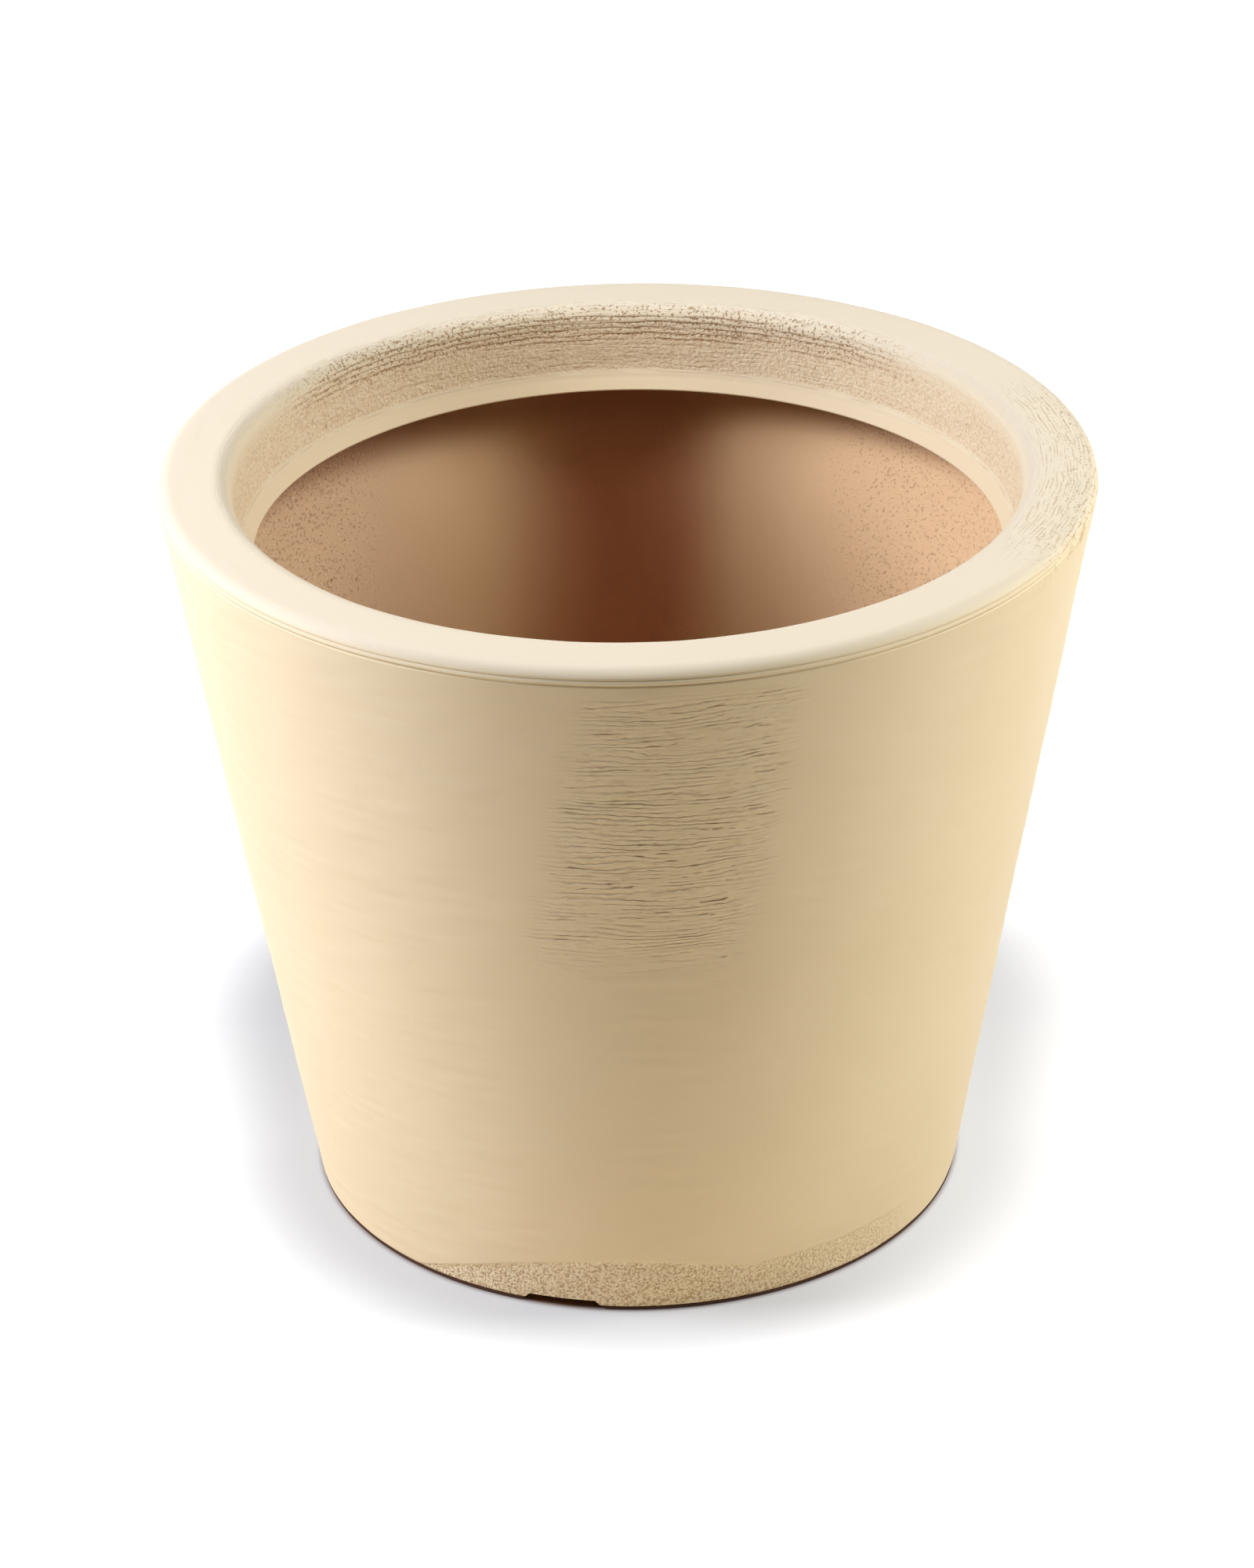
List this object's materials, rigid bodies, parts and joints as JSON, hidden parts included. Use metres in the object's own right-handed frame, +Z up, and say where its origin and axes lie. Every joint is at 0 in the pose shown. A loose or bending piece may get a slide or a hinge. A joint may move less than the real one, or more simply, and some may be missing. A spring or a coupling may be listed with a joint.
{
  "type": "flower pot",
  "caption": "Round conical flower pot with a rounded rim turned down inside as a collar, a brown inner shell, a notched foot and pull-out rubber drain plugs.",
  "frame": {"origin": "centre of the foot, on the ground", "axes": "+Z up along the pot's axis, -Y towards the front drain notch, +X to the right seen from the front"},
  "size_m": [0.3999, 0.4, 0.336],
  "materials": {
    "outer_shell": "cream moulded polyethylene with a fine combed stone texture",
    "inner_shell": "matt terracotta-brown moulded polyethylene with fine grain",
    "plug_rubber": "matt dark rubber"
  },
  "bodies": {
    "pot": {"outer_shell": "outer_shell", "inner_shell": "inner_shell"},
    "plug_front": {"drain_plug_front": "plug_rubber"},
    "plug_right": {"drain_plug_right": "plug_rubber"},
    "plug_left": {"drain_plug_left": "plug_rubber"}
  },
  "joints": [
    {"name": "plug_front_pull", "type": "slide", "parent": "pot", "child": "plug_front", "axis": [0, 0, 1], "range_m": [0, 0.35]},
    {"name": "plug_right_pull", "type": "slide", "parent": "pot", "child": "plug_right", "axis": [0, 0, 1], "range_m": [0, 0.35]},
    {"name": "plug_left_pull", "type": "slide", "parent": "pot", "child": "plug_left", "axis": [0, 0, 1], "range_m": [0, 0.35]}
  ]
}
